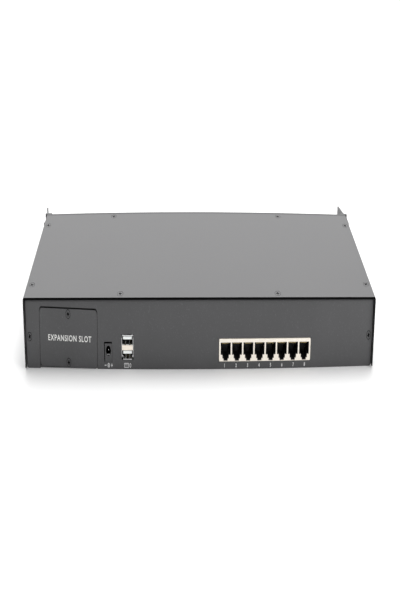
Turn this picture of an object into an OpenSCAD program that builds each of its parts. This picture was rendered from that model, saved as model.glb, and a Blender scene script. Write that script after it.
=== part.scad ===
// Eight-port rack switch for keyboards, video and mice over network cable.
// +Z is up, X runs across the unit, the buttons face -Y and the sockets face +Y.
// The origin lies at the middle of the footprint, on the underside. Millimetres.

/* [Case] */
// Width over the cover
case_w = 437; // [430:1:440]
// Height of the case, one rack unit
case_h = 44; // [43:0.5:46]
// Depth of the case, without the mounting plates
case_d = 155; // [150:1:180]
// Thickness of the steel sheet
sheet_t = 1.2; // [1:0.1:1.5]
// Outside radius of the cover's bends
bend_r = 2; // [1.6:0.1:3]
// How far the cover reaches past the rear panel
rear_overhang = 2.8; // [2.7:0.1:4]
// Width of the inward flanges that take the cover screws
flange_w = 10; // [9:0.5:12]
// Gap between the cover's sides and the chassis
cover_gap = 0.2; // [0.1:0.05:0.3]

/* [Rear sockets] */
// Number of network sockets and of select buttons
port_count = 8; // [8]
// Spacing of the network sockets
port_pitch = 13.97; // [13.97]
// Centre of the row of network sockets, seen from behind, right of the middle
port_row_x = 79.6; // [70:0.1:90]
// Width of one network socket's mouth
port_mouth_w = 11.7; // [11.4:0.1:12]
// Centre of the pair of keyboard and mouse sockets, left of the middle
usb_x = 89.6; // [88:0.1:95]
// Centre of the power socket, left of the middle
jack_x = 113.2; // [110:0.1:116]
// Diameter of the power socket's barrel
jack_bore_d = 6.1; // [5.5:0.1:6.5]
// Centre of the option plate, left of the middle
option_x = 162.8; // [161:0.1:163]
// Width of the option plate
option_w = 72; // [66:1:73]
// How far the option plate sits askew, in degrees
option_tilt = 1.3; // [0:0.1:1.5]

/* [Front] */
// Thickness of the front panel
bezel_t = 3; // [2.5:0.5:4]
// Spacing of the select buttons
button_pitch = 18; // [16:0.5:20]
// Width of one button
button_w = 12; // [10:0.5:13]
// Height of one button
button_h = 7; // [6:0.5:8]
// How far a button stands out of the front panel
button_proud = 1.6; // [1:0.1:2]
// Travel of a button
button_travel = 0.5; // [0.3:0.05:0.6]
// Centre of the row of buttons
button_row_x = 10; // [0:1:20]
// Centre of the monitor socket
monitor_x = 140; // [130:1:150]

/* [Mounting plates] */
// Thickness of a mounting plate
plate_t = 1.5; // [1.2:0.1:2]
// How far a mounting plate reaches past the front panel
plate_reach = 50; // [40:1:60]
// How far the left mounting plate's top edge falls towards its end
plate_drop = 9.5; // [8:0.5:15]
// How far the right mounting plate's top edge falls towards its end
plate_drop_right = 19; // [16:0.5:22]

/* [Boards] */
// Thickness of the circuit boards
board_t = 1.6; // [1.6]
// Height of the main board's top face
board_top_z = 4.8; // [4.6:0.1:5]
// Depth of the main board
board_d = 112; // [100:1:115]

/* [Hidden] */
$fn = 32;

thin = 0.01;                     // overlap that makes a cut clean
rear_y = (case_d + plate_reach) / 2;
front_y = rear_y - case_d;
panel_y = rear_y - rear_overhang;          // outer face of the rear panel
panel_in_y = panel_y - sheet_t;
panel_bend_r = 2.6;                        // outside radius of the bend along the panel's top
side_end_y = panel_y - panel_bend_r - 0.5; // the chassis sides stop short of that bend
wall_y = front_y + bezel_t;                // front face of the chassis front wall
wall_in_y = wall_y + sheet_t;
cover_in_x = case_w / 2 - sheet_t;
chassis_x = cover_in_x - cover_gap;
under_cover_z = case_h - sheet_t;
cover_side_z = 1;                          // the cover's sides stop this far above the underside

// Screws: M3 on the case, with flush heads where they show at the top and back, M2.5 on the boards
screw_r = 1.5;
tapped_r = screw_r + 0.05;
passing_r = screw_r + 0.2;
screw_head_r = 2.6;
screw_head_h = 1.3;
cover_head_r = 3.3;
panel_head_r = 2.5;
head_gap = 0.4;                  // the ring round a flush head
small_screw_r = 1.2;
small_head_r = 2.2;
small_head_h = 1;
cross_w = 1.1;

// Cover screws: across, and in from the nearer edge. The two rows sit a little off the middle.
row_shift = 1.9;
rear_row_x = 96;
rear_row_in = 6;
front_row_x = 117;
front_row_in = 7.8;
side_row_x = case_w / 2 - 7.5;
side_rear_in = 21;
side_front_in = 24;
cover_screw_places = [for (s = [-1, 1]) each [
    [s * rear_row_x + row_shift, rear_y - rear_row_in],
    [s * front_row_x + row_shift, front_y + front_row_in],
    [s * side_row_x, rear_y - side_rear_in],
    [s * side_row_x, front_y + side_front_in]]];

end_screw_x = case_w / 2 - 6.5;
end_screw_z = 19.4;
end_screw_turn = 25;

// Rear panel cut-outs
port_row_w = (port_count - 1) * port_pitch + 16;
port_row_z = [4.9, 18.4];
port_mouth_z = [5.5, 16];
port_depth = 16;
port_proud = 0.5;
socket_gap = 0.25;
usb_w = 14.2;
usb_z = [6.2, 20.9];
usb_depth = 17;
usb_metal = 0.4;
usb_corner = [1.2, 1.1];                   // notch at each corner of the shell
usb_divider_z = [11.7, 14.6];
usb_tongue_z = [10, 18.6];
jack_w = 8.6;
jack_z = [board_top_z, 15.7];
jack_side_gap = 1;
jack_top_gap = 0.9;
jack_bore_z = 11.4;
jack_depth = 14;
jack_bore_depth = 10;
jack_floor_t = 0.8;
option_h = 35.3;
option_z = 18.55;
option_gap = 0.4;
option_top_gap = 1;
option_hole = [62, 20];
option_screw_z = [-14.85, 14.55];            // from the plate's middle
option_frame_t = 0.8;
option_frame_edge = 4;

// Front
front_board_y = wall_in_y + 8.8;
front_board_w = 260;
front_board_h = 32;
front_board_z = 5.5;
front_board_x = 60;
button_z = 16;
lamp_z = 27;
lamp_r = 1.4;
lamp_side = 2.6;
switch_size = 6.2;
switch_h = 3.5;
stem_r = 1.6;
stem_gap = 0.15;
button_gap = 0.25;
monitor_z = 20;
monitor_shell_size = [16.9, 8.3];
monitor_screw_x = 12.5;
bezel_screw_places = [for (x = [-200, -90, 90, 200]) [x, 8]];

// Main board
board_w = 396;
board_y = [panel_in_y - 1 - board_d, panel_in_y - 1];
board_z = board_top_z - board_t;
board_screw_places = [for (x = [-188, -62, 62, 188], y = [board_y[0] + 6, board_y[1] - 26]) [x, y]];
processor_at = [-15, board_y[0] + 58];
processor_size = [27, 27, 2.2];
header_size = [30, 6, 7];
header_y = board_y[0] + 12;
header_x = -25;
ribbon_t = 0.9;
ribbon_z = 26;

function port_x(i) = -port_row_x + (i - (port_count - 1) / 2) * port_pitch;
function button_x(i) = button_row_x + (i - (port_count - 1) / 2) * button_pitch;

// ---- Shared shapes ----

module box(from, to) {
    translate(from) cube(to - from);
}

module hole_z(x, y, r, from, to) {
    translate([x, y, from]) cylinder(r = r, h = to - from);
}

// A hole or rod along +Y
module rod_y(x, z, r, from, to, sides = $fn) {
    translate([x, from, z]) rotate([-90, 0, 0]) cylinder(r = r, h = to - from, $fn = sides);
}

// A rectangle with round corners, drawn with squares and circles
module round_rect(w, h, r) {
    square([w - 2 * r, h], center = true);
    square([w, h - 2 * r], center = true);
    for (x = [-1, 1], y = [-1, 1]) translate([x * (w / 2 - r), y * (h / 2 - r)]) circle(r);
}

// Stands a flat drawing up in the XZ plane, and gives it thickness towards +Y
module upright(x, y, z, t) {
    translate([x, y + t, z]) rotate([90, 0, 0]) linear_extrude(t) children();
}

// A pan-head screw whose head sits on z = 0, with its shank below
module pan_screw(shank_r, length, head_r, head_h) {
    difference() {
        union() {
            translate([0, 0, -length]) cylinder(r = shank_r, h = length + head_h / 2);
            cylinder(r = head_r, h = head_h * 0.6);
            translate([0, 0, head_h * 0.6]) cylinder(r1 = head_r, r2 = head_r * 0.7, h = head_h * 0.4);
        }
        for (a = [0, 90]) rotate(a) translate([-head_r * 0.6, -cross_w / 2, head_h * 0.25])
            cube([head_r * 1.2, cross_w, head_h]);
    }
}

module case_screw(length = 5) {
    pan_screw(screw_r, length, screw_head_r, screw_head_h);
}

// A countersunk screw whose head is flush with z = 0, as deep as one sheet
module flush_screw(head_r, length, turn = 0) {
    difference() {
        union() {
            translate([0, 0, -length]) cylinder(r = screw_r, h = length - sheet_t / 2);
            translate([0, 0, -sheet_t]) cylinder(r1 = screw_r + 0.1, r2 = head_r, h = sheet_t);
        }
        for (a = [0, 90]) rotate(a + turn) translate([-head_r * 0.6, -cross_w / 2, -0.9])
            cube([head_r * 1.2, cross_w, 1]);
    }
}

// The hole for a flush screw's head, through one sheet whose face is z = 0
module flush_hole(head_r) {
    translate([0, 0, -sheet_t - 1]) cylinder(r = passing_r, h = sheet_t + 1);
    translate([0, 0, -sheet_t]) cylinder(r1 = passing_r, r2 = head_r + head_gap, h = sheet_t / 2);
    translate([0, 0, -sheet_t / 2]) cylinder(r = head_r + head_gap, h = 1 + sheet_t / 2);
}

module board_screw(length = 3.2) {
    pan_screw(small_screw_r, length, small_head_r, small_head_h);
}

// ---- Case ----

vent_count = 12;
vent_pitch = 6;
vent_w = 2.4;
vent_h = 18;
vent_z = 22;

module vents(x) {
    for (i = [0:vent_count - 1])
        box([x - 4, rear_y - 50 - i * vent_pitch, vent_z - vent_h / 2],
            [x + 4, rear_y - 50 - i * vent_pitch + vent_w, vent_z + vent_h / 2]);
}

tab_h = 14;

module chassis_base() {
    color("dimgray") difference() {
        union() {
            box([-chassis_x, wall_y, 0], [chassis_x, panel_in_y, sheet_t]);
            box([-chassis_x, wall_y, 0], [chassis_x, wall_in_y, under_cover_z]);
            box([-chassis_x, wall_y, under_cover_z - sheet_t], [chassis_x, wall_y + flange_w, under_cover_z]);
            for (s = [0, 1]) mirror([s, 0, 0]) {
                box([chassis_x - sheet_t, wall_y, 0], [chassis_x, side_end_y, under_cover_z]);
                box([chassis_x - flange_w, wall_y, under_cover_z - sheet_t],
                    [chassis_x, side_end_y, under_cover_z]);
                box([chassis_x - sheet_t, side_end_y - 1, end_screw_z - tab_h / 2],
                    [chassis_x, panel_in_y, end_screw_z + tab_h / 2]);
                box([chassis_x - flange_w, panel_in_y - sheet_t, end_screw_z - tab_h / 2],
                    [chassis_x, panel_in_y, end_screw_z + tab_h / 2]);
            }
        }
        for (p = cover_screw_places) hole_z(p[0], p[1], tapped_r, under_cover_z - 3, case_h);
        for (s = [-1, 1]) {
            rod_y(s * end_screw_x, end_screw_z, tapped_r, panel_in_y - 3, panel_y);
            vents(s * chassis_x);
        }
        for (p = bezel_screw_places) rod_y(p[0], p[1], passing_r, wall_y - 1, wall_in_y + 1);
        for (i = [0:port_count - 1]) {
            button_hole(i, wall_y - 1, wall_in_y + 1);
            lamp_holes(i, wall_y - 1, wall_in_y + 1);
        }
        monitor_opening(wall_y - 1, wall_in_y + 1);
        bracket_holes(tapped_r);
        for (x = front_board_screw_x, z = front_board_screw_z)
            rod_y(x, z, small_screw_r + 0.1, wall_y - 1, wall_in_y + 1);
    }
}

foot_d = 8;
panel_side_gap = 1;              // between the panel and the cover's sides
panel_w = 2 * (cover_in_x - panel_side_gap);
panel_fold_w = 2 * chassis_x - 2 * flange_w - 4;
foot_end_x = option_x - option_w / 2 - 6;

// The panel's outer face with its top edge bent over, seen along X
module panel_outline(depth) {
    bend_in_r = panel_bend_r - sheet_t;
    translate([panel_in_y, 0]) square([sheet_t, under_cover_z - panel_bend_r]);
    translate([panel_y - panel_bend_r, under_cover_z - panel_bend_r]) intersection() {
        difference() {
            circle(panel_bend_r);
            circle(bend_in_r);
        }
        square(panel_bend_r);
    }
    translate([panel_y - depth, under_cover_z - sheet_t]) square([depth - panel_bend_r, sheet_t]);
}

module rear_panel() {
    color("dimgray") difference() {
        union() {
            intersection() {
                rotate([90, 0, 90]) linear_extrude(panel_w, center = true) panel_outline(panel_bend_r + 0.3);
                upright(0, panel_in_y - 3, under_cover_z / 2, sheet_t + 3)
                    round_rect(panel_w, under_cover_z, 2.4);
            }
            rotate([90, 0, 90]) linear_extrude(panel_fold_w, center = true)
                panel_outline(sheet_t + flange_w);
            box([-panel_fold_w / 2, panel_in_y - foot_d, sheet_t],
                [foot_end_x, panel_in_y + thin, sheet_t * 2]);
        }
        for (p = cover_screw_places) hole_z(p[0], p[1], tapped_r, under_cover_z - 3, case_h);
        for (s = [-1, 1]) translate([s * end_screw_x, panel_y, end_screw_z]) rotate([-90, 0, 0])
            flush_hole(panel_head_r);
        box([-port_row_x - port_row_w / 2 - socket_gap, panel_in_y - 1, port_row_z[0] - socket_gap],
            [-port_row_x + port_row_w / 2 + socket_gap, panel_y + 1, port_row_z[1] + socket_gap]);
        box([usb_x - usb_w / 2 - socket_gap, panel_in_y - 1, usb_z[0] - socket_gap],
            [usb_x + usb_w / 2 + socket_gap, panel_y + 1, usb_z[1] + socket_gap]);
        box([jack_x - jack_w / 2 - socket_gap, panel_in_y - 1, jack_z[0] - socket_gap],
            [jack_x + jack_w / 2 + jack_side_gap, panel_y + 1, jack_z[1] + jack_top_gap]);
        at_option_plate() upright(0, 0, -option_h / 2, sheet_t + 1)
            round_rect(option_w + 2 * option_gap, 2 * (option_h + option_top_gap), 3);
    }
}

module top_cover() {
    color("gray") difference() {
        translate([0, rear_y, 0]) rotate([90, 0, 0]) linear_extrude(case_d - bezel_t) cover_outline();
        for (p = cover_screw_places) translate([p[0], p[1], case_h]) flush_hole(cover_head_r);
        for (s = [-1, 1]) vents(s * chassis_x);
        bracket_holes(passing_r);
    }
}

// The folded sheet, seen along Y
module cover_outline() {
    difference() {
        union() {
            translate([-case_w / 2, cover_side_z]) square([case_w, case_h - cover_side_z - bend_r]);
            translate([-case_w / 2 + bend_r, case_h - bend_r - thin])
                square([case_w - 2 * bend_r, bend_r + thin]);
            for (s = [-1, 1]) translate([s * (case_w / 2 - bend_r), case_h - bend_r]) circle(bend_r);
        }
        translate([-cover_in_x, -1]) square([2 * cover_in_x, under_cover_z + 1]);
    }
}

module front_panel() {
    color("dimgray") difference() {
        upright(0, front_y, case_h / 2, bezel_t) round_rect(case_w, case_h, 2);
        for (i = [0:port_count - 1]) {
            button_hole(i, front_y - 1, wall_y + 1);
            lamp_holes(i, front_y - 1, wall_y + 1);
        }
        monitor_opening(front_y - 1, wall_y + 1);
        for (p = bezel_screw_places) rod_y(p[0], p[1], tapped_r, front_y + 1, wall_y + 1);
    }
}

module front_panel_screws() {
    color("black") for (p = bezel_screw_places)
        translate([p[0], wall_in_y, p[1]]) rotate([-90, 0, 0]) case_screw(bezel_t);
}

module cover_screws() {
    color("black") for (p = cover_screw_places) translate([p[0], p[1], case_h])
        flush_screw(cover_head_r, 5, p[0] + p[1]);
}

module rear_end_screws() {
    color("black") for (s = [-1, 1])
        translate([s * end_screw_x, panel_y, end_screw_z]) rotate([-90, 0, 0])
            flush_screw(panel_head_r, 5, end_screw_turn);
}

// Moves to the middle of the option plate's back face, turned as the plate is
module at_option_plate() {
    translate([option_x, panel_in_y, option_z]) rotate([0, -option_tilt, 0]) children();
}

// The plate fills its opening, flush with the rear panel
module option_plate() {
    color("dimgray") at_option_plate() difference() {
        upright(0, 0, 0, sheet_t) round_rect(option_w, option_h, 3);
        for (z = option_screw_z) translate([0, sheet_t, z]) rotate([-90, 0, 0]) flush_hole(panel_head_r);
    }
}

// The frame behind the opening, which holds the plate and leaves the bay's window
module option_frame() {
    color("dimgray") difference() {
        box([option_x - option_w / 2 - option_frame_edge, panel_in_y - option_frame_t, sheet_t + 0.1],
            [option_x + option_w / 2 + option_frame_edge, panel_in_y, option_z + option_h / 2 + 2.5]);
        at_option_plate() {
            box([-option_hole[0] / 2, -4, -option_hole[1] / 2], [option_hole[0] / 2, 4, option_hole[1] / 2]);
            for (z = option_screw_z) rod_y(0, z, tapped_r, -4, 4);
        }
    }
}

module option_plate_screws() {
    color("black") at_option_plate() for (z = option_screw_z)
        translate([0, sheet_t, z]) rotate([-90, 0, 0]) flush_screw(panel_head_r, sheet_t + 0.9);
}

// ---- Mounting plates ----

bracket_back = 13;
bracket_base_z = 3;
bracket_screw_places = [for (z = [9, 21, 33]) [7, z]];
bracket_slot_places = [[-14, 15], [-36, 15]];
bracket_slot_r = 2.25;
lug_w = 8;
lug_d = 2.5;
finger_y = [12.5, 14.5];                // the finger, in front of the case

module bracket_holes(r) {
    for (p = bracket_screw_places, s = [-1, 1])
        translate([s * case_w / 2, front_y + p[0], p[1]]) rotate([0, 90, 0])
            cylinder(r = r, h = 12, center = true);
}

// A plate on the case's right side. Its top edge falls towards its end.
// It may have a finger that stands up near the case.
module bracket(drop, has_finger) {
    translate([case_w / 2, 0, 0]) difference() {
        union() {
            rotate([90, 0, 90]) linear_extrude(plate_t) polygon([
                [front_y - plate_reach, bracket_base_z],
                [front_y + bracket_back, bracket_base_z],
                [front_y + bracket_back, case_h - bend_r],
                [front_y, case_h - bend_r - (has_finger ? 2 : 0)],
                [front_y - plate_reach, case_h - drop]]);
            box([-lug_w, front_y - lug_d, case_h - bend_r - 2.5], [plate_t, front_y, case_h]);
            if (has_finger) box([0, front_y - finger_y[1], bracket_base_z],
                [plate_t, front_y - finger_y[0], case_h + 0.3]);
        }
        for (p = bracket_screw_places)
            translate([-1, front_y + p[0], p[1]]) rotate([0, 90, 0]) cylinder(r = passing_r, h = 4);
        for (p = bracket_slot_places)
            translate([-1, front_y + p[0], p[1]]) rotate([0, 90, 0]) cylinder(r = bracket_slot_r, h = 4);
    }
}

module bracket_left() {
    color("dimgray") mirror([1, 0, 0]) bracket(plate_drop, false);
}

module bracket_right() {
    color("dimgray") bracket(plate_drop_right, true);
}

module bracket_screws() {
    color("black") for (p = bracket_screw_places, s = [0, 1]) mirror([s, 0, 0])
        translate([case_w / 2 + plate_t, front_y + p[0], p[1]]) rotate([0, 90, 0]) case_screw(4);
}

// ---- Boards ----

module main_board() {
    color("darkgreen") difference() {
        box([-board_w / 2, board_y[0], board_z], [board_w / 2, board_y[1], board_top_z]);
        for (p = board_screw_places) hole_z(p[0], p[1], small_screw_r + 0.2, 0, board_top_z + 1);
    }
}

module board_standoffs() {
    color("silver") for (p = board_screw_places) difference() {
        hole_z(p[0], p[1], 3, sheet_t, board_z);
        hole_z(p[0], p[1], small_screw_r + 0.05, sheet_t - 1, board_z + 1);
    }
}

module board_screws() {
    color("silver") for (p = board_screw_places) translate([p[0], p[1], board_top_z]) board_screw();
}

// ---- Row of network sockets ----

// The outline of one mouth, grown by an amount
module port_mouth(grow = 0) {
    half = port_mouth_w / 2 + grow;
    notch = 3.7 + grow;
    slot = 2.3 + grow;
    top_z = port_mouth_z[1] + grow;
    shoulder_z = 9.1 - grow;
    step_z = 6.9 - grow;
    floor_z = port_mouth_z[0] - grow;
    polygon([[-half, top_z], [-half, shoulder_z], [-notch, shoulder_z], [-notch, step_z],
        [-slot, step_z], [-slot, floor_z], [slot, floor_z], [slot, step_z],
        [notch, step_z], [notch, shoulder_z], [half, shoulder_z], [half, top_z]]);
}

port_pocket_d = 12.5;
port_wall = 0.7;                 // thickness of the housing behind its face
port_bezel_back = 0.5;
carrier_gap = 0.05;
port_lip = 0.25;                 // the dark edge of each mouth

module port_mouths(grow = 0) {
    for (i = [0:port_count - 1])
        upright(port_x(i), panel_y + port_proud - port_pocket_d, 0, port_pocket_d + 1) port_mouth(grow);
}

// The block behind the bezel, drawn in by the given amount at the sides, roof and floor
module port_block(inset, floor_inset, from, to) {
    box([-port_row_x - port_row_w / 2 + 0.5 + inset, from, board_top_z + floor_inset],
        [-port_row_x + port_row_w / 2 - 0.5 - inset, to, port_row_z[1] - 0.3 - inset]);
}

module port_housing() {
    color("ivory") difference() {
        union() {
            upright(-port_row_x, panel_in_y - port_bezel_back, (port_row_z[0] + port_row_z[1]) / 2,
                    sheet_t + port_bezel_back + port_proud)
                round_rect(port_row_w, port_row_z[1] - port_row_z[0], 0.8);
            port_block(0, 0, panel_y - port_depth, panel_in_y);
        }
        port_block(port_wall, -1, panel_y - port_depth - 1, panel_in_y - port_bezel_back);
        port_mouths(port_lip + carrier_gap);
    }
}

// The black carriers behind the bezel, which line each mouth
module port_carriers() {
    color("black") difference() {
        union() {
            port_block(port_wall + carrier_gap, 0, panel_y - port_depth + 0.3, panel_in_y - port_bezel_back);
            for (i = [0:port_count - 1]) upright(port_x(i), panel_in_y - port_bezel_back - 1, 0,
                    1 + port_bezel_back + sheet_t + port_proud - port_lip / 2)
                port_mouth(port_lip);
        }
        port_mouths();
    }
}

contact_pitch = 1.02;
contact_w = 0.4;
contact_count = 8;

// One sprung wire, from the back of the pocket, under its roof and down to a hook
module port_contact() {
    back = panel_y + port_proud - port_pocket_d;
    tip = back + 8;
    roof = port_mouth_z[1];
    wire = 0.4;
    rotate([90, 0, 90]) linear_extrude(contact_w, center = true) polygon([
        [back, roof - 3.2], [tip - 2, roof - 0.7], [tip, roof - 1.8],
        [tip, roof - 1.8 - wire], [tip - 2, roof - 0.7 - wire], [back, roof - 3.2 - wire]]);
}

module port_contacts() {
    color("gold") for (i = [0:port_count - 1], k = [0:contact_count - 1])
        translate([port_x(i) + (k - (contact_count - 1) / 2) * contact_pitch, 0, 0]) port_contact();
}

// ---- Keyboard and mouse sockets ----

// The shell's section, with its corners notched, drawn in by an amount
module usb_section(inset = 0) {
    h = usb_z[1] - usb_z[0];
    square([usb_w - 2 * usb_corner[0] - 2 * inset, h - 2 * inset], center = true);
    square([usb_w - 2 * inset, h - 2 * usb_corner[1] - 2 * inset], center = true);
}

module usb_block(inset, from, to) {
    upright(usb_x, from, (usb_z[0] + usb_z[1]) / 2, to - from) usb_section(inset);
}

// The shell's walls end in four lips, with the corners between them cut back
module usb_shell() {
    cut = usb_corner + [usb_metal + thin, usb_metal + thin];
    color("silver") difference() {
        usb_block(0, panel_y - usb_depth, panel_y + 0.6);
        usb_block(usb_metal, panel_y - usb_depth + usb_metal, panel_y + 1);
        for (x = [usb_x - usb_w / 2 - 1, usb_x + usb_w / 2 - cut[0]], z = [usb_z[0] - 1, usb_z[1] - cut[1]])
            box([x, panel_y - 1.6, z], [x + cut[0] + 1, panel_y + 1, z + cut[1] + 1]);
    }
}

usb_clear = 0.05;
usb_body_y = panel_y - usb_depth + 5;
usb_tongue_w = 10.6;
usb_tongue_t = 1.7;
usb_tongue_back = 0.9;
usb_divider_w = usb_w - 2 * usb_metal - 2 * usb_clear;
usb_divider_d = 1.5;

// The block at the back of the shell, the shelf between the two sockets, and the foot under the shell
module usb_body() {
    color("black") {
        usb_block(usb_metal + usb_clear, panel_y - usb_depth + usb_metal + usb_clear, usb_body_y);
        box([usb_x - usb_divider_w / 2, usb_body_y - thin, usb_divider_z[0]],
            [usb_x + usb_divider_w / 2, panel_y - usb_divider_d, usb_divider_z[1]]);
        box([usb_x - usb_w / 2 + 1, panel_y - usb_depth + 1, board_top_z],
            [usb_x + usb_w / 2 - 1, panel_y - 4, usb_z[0]]);
    }
}

module usb_insulator() {
    color("ivory") difference() {
        union() {
            box([usb_x - usb_divider_w / 2, panel_y - usb_divider_d, usb_divider_z[0]],
                [usb_x + usb_divider_w / 2, panel_y + 0.3, usb_divider_z[1]]);
            for (z = usb_tongue_z)
                box([usb_x - usb_tongue_w / 2, usb_body_y, z - usb_tongue_t / 2],
                    [usb_x + usb_tongue_w / 2, panel_y - usb_tongue_back, z + usb_tongue_t / 2]);
        }
        usb_contact_rows(0.05);
    }
}

// Two leaves on the floor of each socket that hold the plug
module usb_springs() {
    color("silver") for (z = [usb_z[0] + usb_metal, usb_divider_z[1]], x = [-2.8, 2.8])
        translate([usb_x + x, panel_y, z]) rotate([90, 0, 90]) linear_extrude(1.8, center = true)
            polygon([[0, 0], [-4, 1.2], [-4, 0.9], [-1, 0]]);
}

// Four flat strips under each tongue
module usb_contact_rows(gap = 0) {
    for (z = usb_tongue_z, x = [-3.5, -1, 1, 3.5])
        box([usb_x + x - 0.5 - gap, usb_body_y + 0.5 - gap, z - usb_tongue_t / 2 - 0.15],
            [usb_x + x + 0.5 + gap, panel_y - 2 + gap, z - usb_tongue_t / 2 + 0.25 + gap]);
}

module usb_contacts() {
    color("gold") usb_contact_rows();
}

// ---- Power socket ----

module power_jack_body() {
    color("dimgray") difference() {
        box([jack_x - jack_w / 2, panel_y - jack_depth, jack_z[0]],
            [jack_x + jack_w / 2, panel_y + 0.4, jack_z[1]]);
        rod_y(jack_x, jack_bore_z, jack_bore_d / 2, panel_y - jack_bore_depth, panel_y + 2);
        rod_y(jack_x, jack_bore_z, 1.05, panel_y - jack_bore_depth - 1.5, panel_y);
        box([jack_x - 0.8, panel_y - jack_bore_depth, jack_z[0] + jack_floor_t],
            [jack_x + 0.8, panel_y - 3, jack_bore_z]);
    }
}

module power_jack_pin() {
    tip = 1.2;
    color("silver") {
        rod_y(jack_x, jack_bore_z, 1, panel_y - jack_bore_depth - 1.5, panel_y - 1 - tip);
        translate([jack_x, panel_y - 1 - tip, jack_bore_z]) rotate([-90, 0, 0])
            cylinder(r1 = 1, r2 = 0.3, h = tip);
    }
}

// The sprung side contact, in its slot below the barrel and along the barrel's floor to its mouth
module power_jack_spring() {
    y = panel_y - jack_bore_depth;
    z = jack_z[0] + jack_floor_t;
    floor_z = jack_bore_z - 2.3;
    color("silver") translate([jack_x, 0, 0]) rotate([90, 0, 90]) {
        linear_extrude(1.2, center = true) polygon([
            [y, z], [y + 6, floor_z - 0.3], [panel_y - 3, floor_z], [panel_y - 3, floor_z - 0.2],
            [y + 6.2, floor_z - 0.6], [y + 0.8, z]]);
        linear_extrude(3.2, center = true) polygon([
            [panel_y - 3, floor_z - 0.2], [panel_y - 3, floor_z], [panel_y - 1.4, floor_z + 0.25],
            [panel_y - 0.1, floor_z], [panel_y - 0.1, floor_z - 0.2], [panel_y - 1.4, floor_z + 0.05]]);
    }
}

// ---- Front board and buttons ----

front_board_screw_x = [front_board_x - 124, front_board_x + 124];
front_board_screw_z = [front_board_z + 3, front_board_z + 29];

module button_hole(i, from, to) {
    box([button_x(i) - button_w / 2 - button_gap, from, button_z - button_h / 2 - button_gap],
        [button_x(i) + button_w / 2 + button_gap, to, button_z + button_h / 2 + button_gap]);
}

module lamp_holes(i, from, to) {
    for (s = [-1, 1]) rod_y(button_x(i) + s * lamp_side, lamp_z, lamp_r + 0.1, from, to);
}

module lamps(side) {
    for (i = [0:port_count - 1]) union() {
        rod_y(button_x(i) + side * lamp_side, lamp_z, lamp_r, front_y, front_board_y);
        translate([button_x(i) + side * lamp_side, front_y - 0.3, lamp_z]) rotate([-90, 0, 0])
            cylinder(r1 = lamp_r * 0.7, r2 = lamp_r, h = 0.3);
    }
}

module online_lamps() {
    color("limegreen") lamps(-1);
}

module selected_lamps() {
    color("orange") lamps(1);
}

module button_board() {
    color("darkgreen") difference() {
        box([front_board_x - front_board_w / 2, front_board_y, front_board_z],
            [front_board_x + front_board_w / 2, front_board_y + board_t, front_board_z + front_board_h]);
        for (x = front_board_screw_x, z = front_board_screw_z)
            rod_y(x, z, small_screw_r + 0.2, front_board_y - 1, front_board_y + board_t + 1);
    }
}

module button_board_spacers() {
    color("silver") for (x = front_board_screw_x, z = front_board_screw_z) difference() {
        rod_y(x, z, 2.6, wall_in_y, front_board_y);
        rod_y(x, z, small_screw_r + 0.05, wall_in_y - 1, front_board_y + 1);
    }
}

module button_board_screws() {
    color("silver") for (x = front_board_screw_x, z = front_board_screw_z)
        translate([x, front_board_y + board_t, z]) rotate([-90, 0, 0]) board_screw(5);
}

module switch_bodies() {
    color("black") for (i = [0:port_count - 1]) difference() {
        box([button_x(i) - switch_size / 2, front_board_y - switch_h, button_z - switch_size / 2],
            [button_x(i) + switch_size / 2, front_board_y, button_z + switch_size / 2]);
        rod_y(button_x(i), button_z, stem_r + stem_gap, front_board_y - switch_h - 1, front_board_y - 1);
    }
}

module select_button(i) {
    color("lightgray") {
        upright(button_x(i), front_y - button_proud, button_z, button_proud + bezel_t + sheet_t + thin)
            round_rect(button_w, button_h, 1);
        upright(button_x(i), wall_in_y, button_z, 1) square([button_w + 2.5, button_h + 2], center = true);
        rod_y(button_x(i), button_z, stem_r, wall_in_y, front_board_y - 1 - button_travel - 0.3);
    }
}

// ---- Monitor socket ----

// The D outline, wider at the top
module d_outline(grow = 0) {
    w = monitor_shell_size[0] / 2 + grow;
    h = monitor_shell_size[1] / 2 + grow;
    slope = 0.9;
    polygon([[-w, h], [w, h], [w - slope, -h], [-w + slope, -h]]);
}

module monitor_opening(from, to) {
    upright(monitor_x, from, monitor_z, to - from) d_outline(0.5);
    for (s = [-1, 1]) rod_y(monitor_x + s * monitor_screw_x, monitor_z, 3, from, to);
}

monitor_flange = [31, 12.5];
monitor_front_y = front_y - 1.8;

module monitor_shell() {
    color("silver") difference() {
        union() {
            upright(monitor_x, monitor_front_y, monitor_z, wall_in_y - monitor_front_y + 0.5) d_outline();
            upright(monitor_x, wall_in_y, monitor_z, 1) round_rect(monitor_flange[0], monitor_flange[1], 1.5);
        }
        upright(monitor_x, monitor_front_y - 1, monitor_z, 20) d_outline(-0.5);
        for (s = [-1, 1])
            rod_y(monitor_x + s * monitor_screw_x, monitor_z, passing_r, wall_in_y - 1, wall_in_y + 2);
    }
}

module monitor_pins(r, from, to) {
    for (row = [-1:1], k = [-2:2])
        rod_y(monitor_x + k * 2.29 + row * 0.6, monitor_z + row * 1.98, r, from, to, 24);
}

module monitor_insulator() {
    color("royalblue") difference() {
        union() {
            upright(monitor_x, monitor_front_y + 0.4, monitor_z, wall_in_y + 1.2 - monitor_front_y)
                d_outline(-0.6);
            box([monitor_x - monitor_flange[0] / 2 + 6.5, wall_in_y + 1, monitor_z - monitor_flange[1] / 2],
                [monitor_x + monitor_flange[0] / 2 - 6.5, front_board_y, monitor_z + monitor_flange[1] / 2]);
        }
        monitor_pins(0.55, monitor_front_y - 1, monitor_front_y + 7);
    }
}

module monitor_contacts() {
    color("gold") difference() {
        monitor_pins(0.5, monitor_front_y + 1, monitor_front_y + 7);
        monitor_pins(0.3, monitor_front_y, monitor_front_y + 5);
    }
}

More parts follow.
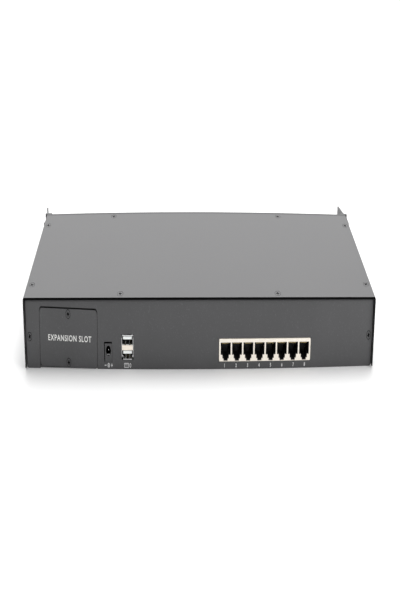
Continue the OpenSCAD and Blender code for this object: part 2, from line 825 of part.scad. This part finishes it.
module monitor_jackscrews() {
    color("silver") for (s = [-1, 1]) difference() {
        union() {
            rod_y(monitor_x + s * monitor_screw_x, monitor_z, 2.7, front_y - 2.5, wall_in_y, 6);
            rod_y(monitor_x + s * monitor_screw_x, monitor_z, 1.4, wall_in_y - 1, wall_in_y + 5);
        }
        rod_y(monitor_x + s * monitor_screw_x, monitor_z, 1.1, front_y - 4, wall_in_y - 2);
    }
}

// ---- Parts on the main board ----

module on_board(x, y, size) {
    translate([x - size[0] / 2, y - size[1] / 2, board_top_z]) cube(size);
}

module processor() {
    color("black") on_board(processor_at[0], processor_at[1], processor_size);
}

module heat_sink() {
    base = 2.5;
    fin_count = 9;
    side = 34;
    fin_t = 1.2;
    z = board_top_z + processor_size[2];
    color("silver") translate([processor_at[0] - side / 2, processor_at[1] - side / 2, z]) {
        cube([side, side, base]);
        for (k = [0:fin_count - 1]) translate([k * (side - fin_t) / (fin_count - 1), 0, 0])
            cube([fin_t, side, 14]);
    }
}

module port_chips() {
    color("black") for (i = [0:port_count - 1]) on_board(port_x(i), board_y[1] - 34, [9, 10, 1.6]);
}

module memory_chips() {
    color("black") for (k = [-1, 1]) on_board(processor_at[0] + k * 38, processor_at[1], [11, 18, 1.2]);
}

module capacitors() {
    color("navy") for (k = [0:4])
        hole_z(jack_x - 2 + k * 13, board_y[1] - 56, 4, board_top_z, board_top_z + 12);
}

module crystal() {
    color("silver") on_board(processor_at[0], processor_at[1] + 27, [11, 4.6, 3.5]);
}

module option_connector() {
    color("black") on_board(option_x, board_y[1] - 36, [44, 8, 9]);
}

module ribbon_headers() {
    color("black") {
        on_board(header_x, header_y, header_size);
        box([header_x - header_size[0] / 2, front_board_y + board_t, ribbon_z - 3],
            [header_x + header_size[0] / 2, front_board_y + board_t + header_size[2], ribbon_z + 3]);
    }
}

// A flat cable that leaves the front board level and turns down to the main board
module ribbon_cable() {
    elbow = 4;
    from_y = front_board_y + board_t + header_size[2];
    to_z = board_top_z + header_size[2];
    corner = [header_y - elbow, ribbon_z - elbow];
    color("lightgray") translate([header_x - 13, 0, 0]) rotate([90, 0, 90]) linear_extrude(26) {
        translate([from_y, ribbon_z - ribbon_t / 2]) square([corner[0] - from_y + thin, ribbon_t]);
        translate([header_y - ribbon_t / 2, to_z]) square([ribbon_t, corner[1] - to_z + thin]);
        translate(corner) intersection() {
            difference() {
                circle(elbow + ribbon_t / 2);
                circle(elbow - ribbon_t / 2);
            }
            square(elbow * 2);
        }
    }
}

chassis_base();
rear_panel();
top_cover();
front_panel();
front_panel_screws();
cover_screws();
rear_end_screws();
option_plate();
option_frame();
option_plate_screws();
bracket_left();
bracket_right();
bracket_screws();
main_board();
board_standoffs();
board_screws();
port_housing();
port_carriers();
port_contacts();
usb_shell();
usb_body();
usb_insulator();
usb_springs();
usb_contacts();
power_jack_body();
power_jack_pin();
power_jack_spring();
button_board();
button_board_spacers();
button_board_screws();
switch_bodies();
for (i = [0:port_count - 1])
    select_button(i);
online_lamps();
selected_lamps();
monitor_shell();
monitor_insulator();
monitor_contacts();
monitor_jackscrews();
processor();
heat_sink();
port_chips();
memory_chips();
capacitors();
crystal();
ribbon_cable();
ribbon_headers();
option_connector();
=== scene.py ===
"""Looks of the rack KVM switch: paint, plastics, metals, printed marks, studio and camera."""
import math

import bpy
from mathutils import Matrix, Vector


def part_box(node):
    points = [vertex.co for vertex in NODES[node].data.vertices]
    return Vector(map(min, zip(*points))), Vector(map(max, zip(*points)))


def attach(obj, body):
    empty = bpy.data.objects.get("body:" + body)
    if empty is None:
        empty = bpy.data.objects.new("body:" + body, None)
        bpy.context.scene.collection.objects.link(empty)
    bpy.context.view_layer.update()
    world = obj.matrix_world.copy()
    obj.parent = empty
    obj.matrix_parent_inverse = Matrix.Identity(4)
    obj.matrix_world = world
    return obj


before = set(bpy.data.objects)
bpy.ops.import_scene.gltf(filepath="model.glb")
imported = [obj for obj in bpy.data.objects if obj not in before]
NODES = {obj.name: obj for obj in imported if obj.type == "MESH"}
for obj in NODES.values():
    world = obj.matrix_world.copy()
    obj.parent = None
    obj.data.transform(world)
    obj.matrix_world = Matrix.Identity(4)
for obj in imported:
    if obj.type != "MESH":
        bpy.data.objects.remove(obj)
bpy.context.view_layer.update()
MM = 0.001
PORTS = 8
OPTION_TILT = math.radians(1.3)    # how far the option plate sits askew

ANTHRACITE = (0.052, 0.052, 0.054)
# Near-black painted shade for the option frame, seen through the gap round the option plate
FRAME_SHADE_BLACK = (0.006, 0.006, 0.006)
# Near-black painted shade for the cover's cut end, holes and recesses that lie in shadow
PAINTED_SHADE_BLACK = (0.004, 0.004, 0.004)
WARM_WHITE = (0.84, 0.76, 0.66)
COOL_WHITE = (0.85, 0.88, 0.87)


# ---- Materials ----

class Tree:
    """A new material's nodes, with short calls for the few kinds used here."""

    def __init__(self, name):
        self.material = bpy.data.materials.new(name)
        self.material.use_nodes = True
        self.nodes = self.material.node_tree.nodes
        self.links = self.material.node_tree.links
        self.surface = self.nodes["Principled BSDF"]
        self.place = self.add("ShaderNodeTexCoord").outputs["Object"]

    def add(self, kind, **settings):
        node = self.nodes.new(kind)
        for key, value in settings.items():
            setattr(node, key, value)
        return node

    def feed(self, source, socket):
        self.links.new(source, socket)

    def noise(self, grain, detail=2.0, stretch=(1, 1, 1)):
        """Noise whose blobs are about one grain across, in metres."""
        mapping = self.add("ShaderNodeMapping")
        mapping.inputs["Scale"].default_value = stretch
        self.feed(self.place, mapping.inputs["Vector"])
        noise = self.add("ShaderNodeTexNoise")
        noise.inputs["Scale"].default_value = 1 / grain
        noise.inputs["Detail"].default_value = detail
        self.feed(mapping.outputs["Vector"], noise.inputs["Vector"])
        return noise.outputs["Fac"]

    def spread(self, source, low, high, start=0.3, end=0.7):
        """Maps a grey source onto low to high."""
        ranged = self.add("ShaderNodeMapRange")
        for key, value in (("From Min", start), ("From Max", end), ("To Min", low), ("To Max", high)):
            ranged.inputs[key].default_value = value
        self.feed(source, ranged.inputs["Value"])
        return ranged.outputs["Result"]

    def blend(self, factor, first, second):
        """Mixes two colours, each a triple or a socket."""
        mix = self.add("ShaderNodeMix", data_type="RGBA")
        self.feed(factor, mix.inputs["Factor"])
        for name, value in (("A", first), ("B", second)):
            socket = [s for s in mix.inputs if s.name == name and s.type == "RGBA"][0]
            if isinstance(value, tuple):
                socket.default_value = (*value, 1)
            else:
                self.feed(value, socket)
        return [s for s in mix.outputs if s.type == "RGBA"][0]

    def past(self, axis, level, side):
        """1 where the place along an axis is past a level on the given side, and 0 elsewhere."""
        parts = self.add("ShaderNodeSeparateXYZ")
        self.feed(self.place, parts.inputs["Vector"])
        softness = side * 0.03 * MM
        return self.spread(parts.outputs[axis], 0, 1, level - softness, level + softness)

    def within(self, limits):
        """1 where the place is past every limit, each an axis, a level and a side, and 0 elsewhere."""
        inside = self.past(*limits[0])
        for limit in limits[1:]:
            inside = self.join("MULTIPLY", inside, self.past(*limit))
        return inside

    def join(self, operation, first, second):
        """The result of a sum or comparison of two grey sources."""
        joint = self.add("ShaderNodeMath", operation=operation)
        self.feed(first, joint.inputs[0])
        self.feed(second, joint.inputs[1])
        return joint.outputs["Value"]

    def bump(self, source, height, strength=1.0):
        bump = self.add("ShaderNodeBump")
        bump.inputs["Distance"].default_value = height
        bump.inputs["Strength"].default_value = strength
        self.feed(source, bump.inputs["Height"])
        self.feed(bump.outputs["Normal"], self.surface.inputs["Normal"])

    def set(self, **values):
        for key, value in values.items():
            self.surface.inputs[key.replace("_", " ")].default_value = value


def shade(colour, factor):
    return tuple(min(1.0, c * factor) for c in colour)


def paint(name, colour, roughness=0.42, grain=0.6 * MM, depth=0.02 * MM, painted_shade=()):
    """Fine-textured powder coat: orange-peel grain, faint mottling, paler dust and slightly uneven gloss.

    The places listed, each a list of limits, get near-black painted shade for the shadow in a gap, a hole
    or a screw's recess."""
    tree = Tree(name)
    peel = tree.noise(grain, 3.0)
    cloud = tree.noise(60 * MM, 4.0)
    speck = tree.noise(1.1 * MM, 1.0)
    mottled = tree.blend(tree.spread(cloud, 0, 1), shade(colour, 0.93), shade(colour, 1.07))
    coat = tree.blend(tree.spread(speck, 0, 0.35, 0.62, 0.8), mottled, shade(colour, 2.2))
    # Near-black painted shade on the listed places, made metallic so that no light shows on it
    if painted_shade:
        shade_mask = tree.within(painted_shade[0])
        for limits in painted_shade[1:]:
            shade_mask = tree.join("MAXIMUM", shade_mask, tree.within(limits))
        coat = tree.blend(shade_mask, coat, PAINTED_SHADE_BLACK)
        tree.feed(shade_mask, tree.surface.inputs["Metallic"])
    tree.feed(coat, tree.surface.inputs["Base Color"])
    gloss = tree.spread(cloud, roughness - 0.012, roughness + 0.012)
    tree.feed(gloss, tree.surface.inputs["Roughness"])
    tree.bump(peel, depth, 0.5)
    return tree.material


def plastic(name, colour, roughness=0.4, grain=0.4 * MM, depth=0.008 * MM, variation=0.05, clear=0.0,
            inner=None):
    """Moulded plastic: fine spark texture, slight colour drift and uneven gloss.

    Inner is an axis, a level, a side and the colour of the moulding that lies past it."""
    tree = Tree(name)
    drift = tree.noise(12 * MM, 3.0)
    skin = tree.noise(grain, 2.0)
    darkest, palest = shade(colour, 1 - variation), shade(colour, 1 + variation)
    colours = tree.blend(tree.spread(drift, 0, 1), darkest, palest)
    if inner:
        colours = tree.blend(tree.past(*inner[:3]), colours, inner[3])
    tree.feed(colours, tree.surface.inputs["Base Color"])
    tree.feed(tree.spread(skin, roughness - 0.06, roughness + 0.06), tree.surface.inputs["Roughness"])
    tree.bump(skin, depth, 0.4)
    if clear:
        tree.set(Coat_Weight=clear)
    return tree.material


def metal(name, colour, roughness=0.25, brush=(1, 1, 1), grain=1.5 * MM, depth=0.004 * MM):
    """Bare metal: fine drawn lines along one axis, and faint tarnish."""
    tree = Tree(name)
    lines = tree.noise(grain, 3.0, brush)
    tarnish = tree.noise(4 * MM, 3.0)
    colours = tree.blend(tree.spread(tarnish, 0, 1), shade(colour, 0.82), colour)
    tree.feed(colours, tree.surface.inputs["Base Color"])
    tree.feed(tree.spread(lines, roughness - 0.07, roughness + 0.1), tree.surface.inputs["Roughness"])
    tree.set(Metallic=1.0)
    tree.bump(lines, depth, 0.5)
    return tree.material


def circuit_board(name):
    """Green solder mask with paler tracks and tinned pads showing through."""
    tree = Tree(name)
    green = (0.012, 0.11, 0.035)
    tin = (0.55, 0.56, 0.55)
    tracks = tree.add("ShaderNodeTexBrick", offset=0.37, squash_frequency=3)
    tracks.inputs["Scale"].default_value = 90
    tracks.inputs["Mortar Size"].default_value = 0.035
    tracks.inputs["Color1"].default_value = (*green, 1)
    tracks.inputs["Color2"].default_value = (*shade(green, 0.8), 1)
    tracks.inputs["Mortar"].default_value = (*shade(green, 1.8), 1)
    tree.feed(tree.place, tracks.inputs["Vector"])
    pads = tree.add("ShaderNodeTexVoronoi")
    pads.inputs["Scale"].default_value = 260
    tree.feed(tree.place, pads.inputs["Vector"])
    pad = tree.spread(pads.outputs["Distance"], 1, 0, 0.13, 0.16)
    tree.feed(tree.blend(pad, tracks.outputs["Color"], tin), tree.surface.inputs["Base Color"])
    tree.feed(tree.spread(tree.noise(10 * MM), 0.25, 0.4), tree.surface.inputs["Roughness"])
    tree.bump(tracks.outputs["Fac"], 0.03 * MM, 0.4)
    return tree.material


def chip_case(name):
    """Black moulded package, matt, with a faint swirl."""
    return plastic(name, (0.022, 0.022, 0.024), 0.55, grain=0.2 * MM, variation=0.12)


def lamp_resin(name, colour):
    """Tinted clear resin, faintly lit from inside."""
    tree = Tree(name)
    core = tree.noise(1.2 * MM, 2.0)
    tree.feed(tree.blend(tree.spread(core, 0, 1), shade(colour, 0.75), shade(colour, 1.15)),
              tree.surface.inputs["Base Color"])
    tree.feed(tree.spread(core, 0.12, 0.25), tree.surface.inputs["Roughness"])
    tree.set(Coat_Weight=0.6, Emission_Color=(*colour, 1), Emission_Strength=0.35)
    tree.bump(core, 0.01 * MM, 0.3)
    return tree.material


def ribbon(name):
    """Flat cable: grey cores side by side."""
    tree = Tree(name)
    cores = tree.add("ShaderNodeTexWave", bands_direction="X", wave_profile="SIN")
    cores.inputs["Scale"].default_value = 125
    tree.feed(tree.place, cores.inputs["Vector"])
    ridge = cores.outputs["Fac"]
    tree.feed(tree.blend(tree.spread(ridge, 0, 1), (0.22, 0.22, 0.24), (0.42, 0.42, 0.45)),
              tree.surface.inputs["Base Color"])
    tree.feed(tree.spread(tree.noise(3 * MM), 0.45, 0.6), tree.surface.inputs["Roughness"])
    tree.bump(ridge, 0.2 * MM, 0.8)
    return tree.material


def ink(name, colour):
    """Screen-printed ink, slightly broken by the paint's texture."""
    tree = Tree(name)
    thin = tree.noise(0.4 * MM, 2.0)
    tree.feed(tree.blend(tree.spread(thin, 0, 1), shade(colour, 0.82), shade(colour, 1.06)),
              tree.surface.inputs["Base Color"])
    tree.feed(tree.spread(thin, 0.5, 0.65), tree.surface.inputs["Roughness"])
    tree.bump(thin, 0.005 * MM, 0.3)
    return tree.material


COVER_SIDE, COVER_END, COVER_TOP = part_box("top_cover")[1]
PANEL_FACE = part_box("rear_panel")[1][1]
SCREW_SHADE_DEPTH = 0.15 * MM             # a screw gets near-black painted shade below this depth, in its cross
HOLE_SHADE_DEPTH = 0.3 * MM           # a hole in the sheet gets near-black painted shade below this depth
# Where painted shade goes on the cover: its cut end, near black as painted shade of the dark gap under its
# lip, and the holes in its top, which are clear of its folded sides
COVER_LIP_SHADE = [("Y", COVER_END - 0.1 * MM, 1)]
HOLES_SPAN = COVER_SIDE - 2.4 * MM
COVER_HOLE_SHADE = [("Z", COVER_TOP - HOLE_SHADE_DEPTH, -1), ("X", HOLES_SPAN, -1), ("X", -HOLES_SPAN, 1)]
# On the panel and option plate, every face deeper than this inside a cut-out gets near-black painted shade
PANEL_HOLE_SHADE = [("Y", PANEL_FACE - HOLE_SHADE_DEPTH, -1)]

LOOKS = {
    # The cover: near-black painted shade on its cut end and inside the holes in its top
    "cover": paint("powder_coat_cover", ANTHRACITE, 0.40, painted_shade=[COVER_LIP_SHADE, COVER_HOLE_SHADE]),
    "case": paint("powder_coat_case", ANTHRACITE, 0.46),
    # The panel and option plate: near-black painted shade inside their cut-outs, round the sockets and the
    # plate
    "panel": paint("powder_coat_panel", ANTHRACITE, 0.46, painted_shade=[PANEL_HOLE_SHADE]),
    "bracket": paint("powder_coat_brackets", ANTHRACITE, 0.44),
    # The option frame: near black, painted shade for the dark gap round the option plate
    "frame": paint("frame_painted_shade", FRAME_SHADE_BLACK, 0.6),
    # Screw heads: near-black painted shade in the cross recess, below the shade depth
    "top_screw": paint("painted_screw_top", ANTHRACITE, 0.38, painted_shade=[[("Z", COVER_TOP - SCREW_SHADE_DEPTH, -1)]]),
    "back_screw": paint("painted_screw_back", ANTHRACITE, 0.4, painted_shade=[[("Y", PANEL_FACE - SCREW_SHADE_DEPTH, -1)]]),
    "front": plastic("front_moulding", (0.03, 0.03, 0.032), 0.5, grain=0.7 * MM, depth=0.02 * MM),
    "screw": metal("blackened_steel", (0.05, 0.05, 0.052), 0.38, grain=0.6 * MM),
    "steel": metal("zinc_plated_steel", (0.62, 0.62, 0.63), 0.32, (1, 1, 8)),
    "shell": metal("nickel_shell", (0.74, 0.74, 0.75), 0.2, (1, 14, 1)),
    "gold": metal("gold_flash", (0.83, 0.62, 0.26), 0.22),
    "aluminium": metal("anodised_aluminium", (0.66, 0.67, 0.68), 0.36, (1, 20, 1)),
    "cream": plastic("cream_moulding", (0.82, 0.76, 0.67), 0.38, variation=0.03),
    "tongue": plastic("usb_moulding", WARM_WHITE, 0.38, variation=0.03,
                      inner=("Y", PANEL_FACE - 0.5 * MM, -1, COOL_WHITE)),
    # The jack body is near black behind the panel's face, painted shade in the gap round it
    "jack": paint("jack_moulding", (0.05, 0.05, 0.052), 0.42, painted_shade=[[("Y", PANEL_FACE, -1)]]),
    "black": plastic("black_moulding", (0.012, 0.012, 0.013), 0.42),
    "blue": plastic("blue_moulding", (0.02, 0.08, 0.42), 0.4),
    "button": plastic("button_cap", (0.30, 0.31, 0.32), 0.42, grain=0.5 * MM, depth=0.015 * MM),
    "green": lamp_resin("green_resin", (0.05, 0.55, 0.12)),
    "amber": lamp_resin("amber_resin", (0.85, 0.33, 0.03)),
    "board": circuit_board("solder_mask"),
    "chip": chip_case("chip_package"),
    "sleeve": plastic("capacitor_sleeve", (0.015, 0.02, 0.09), 0.3, variation=0.1, clear=0.5),
    "ribbon": ribbon("flat_cable"),
    "white_ink": ink("white_ink", (0.72, 0.72, 0.70)),
    "grey_ink": ink("grey_ink", (0.62, 0.62, 0.62)),
}

NODE_LOOKS = {
    "cover": ("top_cover",),
    "bracket": ("bracket_left", "bracket_right"),
    "case": ("chassis_base",),
    "panel": ("rear_panel", "option_plate"),
    "frame": ("option_frame",),
    "top_screw": ("cover_screws",),
    "back_screw": ("rear_end_screws", "option_plate_screws"),
    "front": ("front_panel",),
    "screw": ("bracket_screws", "front_panel_screws"),
    "steel": ("board_standoffs", "board_screws", "button_board_spacers", "button_board_screws",
              "monitor_jackscrews", "crystal"),
    "shell": ("usb_shell", "usb_springs", "monitor_shell", "power_jack_pin", "power_jack_spring"),
    "gold": ("port_contacts", "usb_contacts", "monitor_contacts"),
    "aluminium": ("heat_sink",),
    "cream": ("port_housing",),
    "tongue": ("usb_insulator",),
    "jack": ("power_jack_body",),
    "black": ("port_carriers", "usb_body", "switch_bodies", "ribbon_headers", "option_connector"),
    "blue": ("monitor_insulator",),
    "button": tuple(f"select_button_{i}" for i in range(1, PORTS + 1)),
    "green": ("online_lamps",),
    "amber": ("selected_lamps",),
    "board": ("main_board", "button_board"),
    "chip": ("processor", "port_chips", "memory_chips"),
    "sleeve": ("capacitors",),
    "ribbon": ("ribbon_cable",),
}

# The nodes that show, under the rounding of their edges
EDGE_ROUNDING = {
    0.50 * MM: ("front_panel",),
    0.40 * MM: NODE_LOOKS["button"],
    0.35 * MM: ("option_plate",),
    0.30 * MM: ("rear_panel",),
    0.25 * MM: ("bracket_left", "bracket_right", "power_jack_body"),
    0.20 * MM: ("top_cover", "chassis_base"),
    0.15 * MM: ("usb_insulator", "monitor_jackscrews"),
    0.12 * MM: ("port_housing", "monitor_shell", "cover_screws", "rear_end_screws", "option_plate_screws",
                "bracket_screws"),
    0.06 * MM: ("usb_shell",),
}
SHARP = math.radians(40)       # edges that turn by more than this are rounded


def round_edges(node, width):
    bevel = node.modifiers.new("rounded_edges", "BEVEL")
    bevel.width = width
    bevel.segments = 2
    bevel.limit_method = "ANGLE"
    bevel.angle_limit = SHARP
    bevel.harden_normals = True


def dress_nodes():
    for look, names in NODE_LOOKS.items():
        for name in names:
            for slot in NODES[name].material_slots:
                slot.material = LOOKS[look]
    for width, names in EDGE_ROUNDING.items():
        for name in names:
            round_edges(NODES[name], width)


# ---- Printed marks ----

INK_T = 0.02 * MM
CAPITAL = 0.69                 # height of a capital letter in the built-in font, of its size
# Turns a drawing in the XY plane to lie on a wall that faces +Y or -Y, the right way up
FACING = {
    "rear": Matrix(((-1, 0, 0), (0, 0, 1), (0, 1, 0))),
    "front": Matrix(((1, 0, 0), (0, 0, -1), (0, 1, 0))),
}


def print_on(piece, wall, at, material, tilt=0.0):
    """Lays a flat piece on a wall at a point, turned clockwise by the tilt."""
    turn = FACING[wall] @ Matrix.Rotation(-tilt, 3, "Z")
    piece.matrix_world = Matrix.Translation(Vector(at)) @ turn.to_4x4()
    piece.data.materials.append(LOOKS[material])
    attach(piece, "case")


def print_words(name, words, cap_height, wall, at, material,
                width=None, tilt=0.0, spacing=1.0, weight=0.03):
    """Prints centred text with capitals of the given height, and squeezes it to a width if one is given.

    Spacing is between letters, and weight is how far each stroke is fattened, of a capital's height."""
    curve = bpy.data.curves.new(name, "FONT")
    curve.body = words
    curve.size = cap_height / CAPITAL
    curve.align_x = "CENTER"
    curve.align_y = "CENTER"
    curve.space_character = spacing
    curve.extrude = INK_T / 2
    curve.offset = weight * cap_height
    curve.resolution_u = 4
    piece = bpy.data.objects.new(name, curve)
    bpy.context.collection.objects.link(piece)
    bpy.context.view_layer.update()
    squeeze = width / piece.dimensions.x if width else 1.0
    print_on(piece, wall, at, material, tilt)
    piece.matrix_world = piece.matrix_world @ Matrix.Diagonal((squeeze, 1, 1, 1))


def rectangle(x, y, w, h):
    left, right = x - w / 2, x + w / 2
    bottom, top = y - h / 2, y + h / 2
    return [(left, bottom), (right, bottom), (right, top), (left, top)]


def ellipse(x, y, w, h, steps=28):
    turns = [2 * math.pi * k / steps for k in range(steps)]
    return [(x + w / 2 * math.cos(t), y + h / 2 * math.sin(t)) for t in turns]


def ring(x, y, outside, line, tall=1.0):
    """A circle's outline, or an oval's when tall isn't 1."""
    high = outside * tall
    return [ellipse(x, y, outside, high), ellipse(x, y, outside - 2 * line, high - 2 * line)]


def frame_outline(x, y, w, h, line):
    return [rectangle(x, y, w, h), rectangle(x, y, w - 2 * line, h - 2 * line)]


def print_mark(name, outlines, wall, at, material):
    """Prints a pictogram. Its outlines are in millimetres, and an outline inside another is a hole."""
    curve = bpy.data.curves.new(name, "CURVE")
    curve.dimensions = "2D"
    curve.fill_mode = "BOTH"
    curve.extrude = INK_T / 2
    for outline in outlines:
        spline = curve.splines.new("POLY")
        spline.points.add(len(outline) - 1)
        for point, (x, y) in zip(spline.points, outline):
            point.co = (x * MM, y * MM, 0, 1)
        spline.use_cyclic_u = True
    piece = bpy.data.objects.new(name, curve)
    bpy.context.collection.objects.link(piece)
    print_on(piece, wall, at, material)


def polarity_mark():
    """Minus, centre pin in a ring, and plus."""
    line = 0.5
    reach = 3.9
    sign = 2.2
    bars = [rectangle(side * reach, 0, sign, line) for side in (-1, 1)]
    arms = [rectangle(reach, side * 0.68, line, 0.86) for side in (-1, 1)]
    return [*bars, *arms, *ring(0, 0, 2.8, line), ellipse(0, 0, 1.0, 1.0)]


def keyboard_and_mouse_mark():
    """A keyboard with three keys, and a mouse beside it."""
    keys = [rectangle(-2.7 + 1.4 * k, 0.3, 0.7, 0.5) for k in range(3)]
    return [*frame_outline(-1.6, 0, 5.4, 2.8, 0.42), *keys, *ring(3.2, 0, 2.0, 0.45, 1.4)]


def monitor_mark():
    """A screen on a neck and a foot."""
    line = 0.45
    neck = rectangle(0, -1.95, 0.9, 0.5)
    foot = rectangle(0, -2.45, 3.4, line)
    return [*frame_outline(0, 0.5, 6.4, 4.0, line), neck, foot]


def centre_of(name):
    low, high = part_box(name)
    return (Vector(low) + Vector(high)) / 2


def print_rear():
    """The port numbers, the two marks below the other sockets, and the option plate's words."""
    face_y = PANEL_FACE + INK_T
    number_height = 2.1 * MM
    number_z = 2.1 * MM
    number_pitch = 14.3 * MM   # a little wider than the sockets' own pitch
    row = centre_of("port_housing")
    for i in range(PORTS):
        x = row.x - (i - (PORTS - 1) / 2) * number_pitch
        print_words(f"port_number_{i + 1}", str(i + 1), number_height, "rear", (x, face_y, number_z),
                    "grey_ink", weight=0.05)

    mark_z = 2.4 * MM
    jack = centre_of("power_jack_body")
    print_mark("power_mark", polarity_mark(), "rear", (jack.x, face_y, mark_z), "grey_ink")
    usb = centre_of("usb_shell")
    print_mark("console_mark", keyboard_and_mouse_mark(), "rear", (usb.x, face_y, mark_z), "grey_ink")

    plate = centre_of("option_plate")
    plate_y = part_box("option_plate")[1][1] + INK_T
    words_at = (plate.x - 1.4 * MM, plate_y, plate.z - 0.2 * MM)
    print_words("option_words", "EXPANSION SLOT", 3.5 * MM, "rear", words_at, "white_ink",
                width=54 * MM, tilt=OPTION_TILT, spacing=1.16, weight=0.02)


def print_front():
    """A number below each button, and a mark above the monitor socket."""
    face_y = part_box("front_panel")[0][1] - INK_T
    number_height = 3.0 * MM
    number_z = 7.5 * MM
    for i in range(1, PORTS + 1):
        button = centre_of(f"select_button_{i}")
        print_words(f"button_number_{i}", str(i), number_height, "front", (button.x, face_y, number_z),
                    "white_ink")
    monitor = centre_of("monitor_shell")
    mark_z = 34 * MM
    print_mark("monitor_mark", monitor_mark(), "front", (monitor.x, face_y, mark_z), "white_ink")


# ---- Studio ----

def floor_material():
    """Pale seamless paper, very slightly cloudy."""
    tree = Tree("studio_floor")
    cloud = tree.noise(500 * MM, 3.0)
    colours = tree.blend(tree.spread(cloud, 0, 1), (0.84, 0.84, 0.84), (0.86, 0.86, 0.86))
    tree.feed(colours, tree.surface.inputs["Base Color"])
    tree.set(Roughness=0.85, Specular_IOR_Level=0.15)
    return tree.material


def add_floor(size=14.0):
    bpy.ops.mesh.primitive_plane_add(size=size)
    floor = bpy.context.object
    floor.name = "studio_floor"
    floor.data.materials.append(floor_material())


def add_softbox(name, at, towards, size, power):
    """A rectangular light that faces a point. Its size is across and up, and its power is in watts."""
    light = bpy.data.lights.new(name, "AREA")
    light.shape = "RECTANGLE"
    light.size, light.size_y = size
    light.energy = power
    lamp = bpy.data.objects.new(name, light)
    lamp.location = at
    lamp.rotation_mode = "QUATERNION"
    lamp.rotation_quaternion = (Vector(towards) - Vector(at)).to_track_quat("-Z", "Y")
    bpy.context.collection.objects.link(lamp)


def add_dome(strength):
    """Even white light from all around."""
    world = bpy.data.worlds.new("studio_dome")
    world.use_nodes = True
    background = world.node_tree.nodes["Background"]
    background.inputs["Color"].default_value = (1, 1, 1, 1)
    background.inputs["Strength"].default_value = strength
    bpy.context.scene.world = world


def add_lights():
    add_dome(0.62)
    add_softbox("overhead_softbox", (0, -0.55, 1.6), (0, 0, 0), (1.8, 1.6), 30)
    add_softbox("far_softbox", (0, -2.2, 1.0), (0, 0, 0.02), (2.6, 1.2), 14)
    add_softbox("side_softbox", (-1.5, 0.9, 0.6), (-0.2, 0.1, 0.02), (0.8, 0.8), 21)


# ---- Camera ----

VIEW_PLACE = (0.0279, 0.8093, 0.3141)
# Degrees. The yaw is off the -Y direction.
VIEW_YAW = -2.16
VIEW_DOWN = 21.01
VIEW_ROLL = 0.71
FIELD_ACROSS = 36.39
PICTURE_SHAPE = 600 / 400      # height over width
SQUEEZE = 2.21                 # how much the picture is squeezed across, as by an anamorphic lens


def add_camera():
    """A camera whose field is set apart across and down, so that its picture is squeezed across."""
    data = bpy.data.cameras.new("camera")
    data.type = "PANO"
    data.panorama_type = "EQUIRECTANGULAR"
    half_across = math.radians(FIELD_ACROSS / 2)
    half_down = half_across * PICTURE_SHAPE / SQUEEZE
    data.longitude_min, data.longitude_max = -half_across, half_across
    data.latitude_min, data.latitude_max = -half_down, half_down
    yaw = Matrix.Rotation(math.radians(180 + VIEW_YAW), 3, "Z")
    pitch = Matrix.Rotation(math.radians(90 - VIEW_DOWN), 3, "X")
    roll = Matrix.Rotation(math.radians(VIEW_ROLL), 3, "Z")
    camera = bpy.data.objects.new("camera", data)
    camera.location = VIEW_PLACE
    camera.rotation_mode = "QUATERNION"
    camera.rotation_quaternion = (yaw @ pitch @ roll).to_quaternion()
    bpy.context.collection.objects.link(camera)
    bpy.context.scene.camera = camera


bpy.context.scene.view_settings.view_transform = "Standard"
dress_nodes()
print_rear()
print_front()
add_floor()
add_lights()
add_camera()
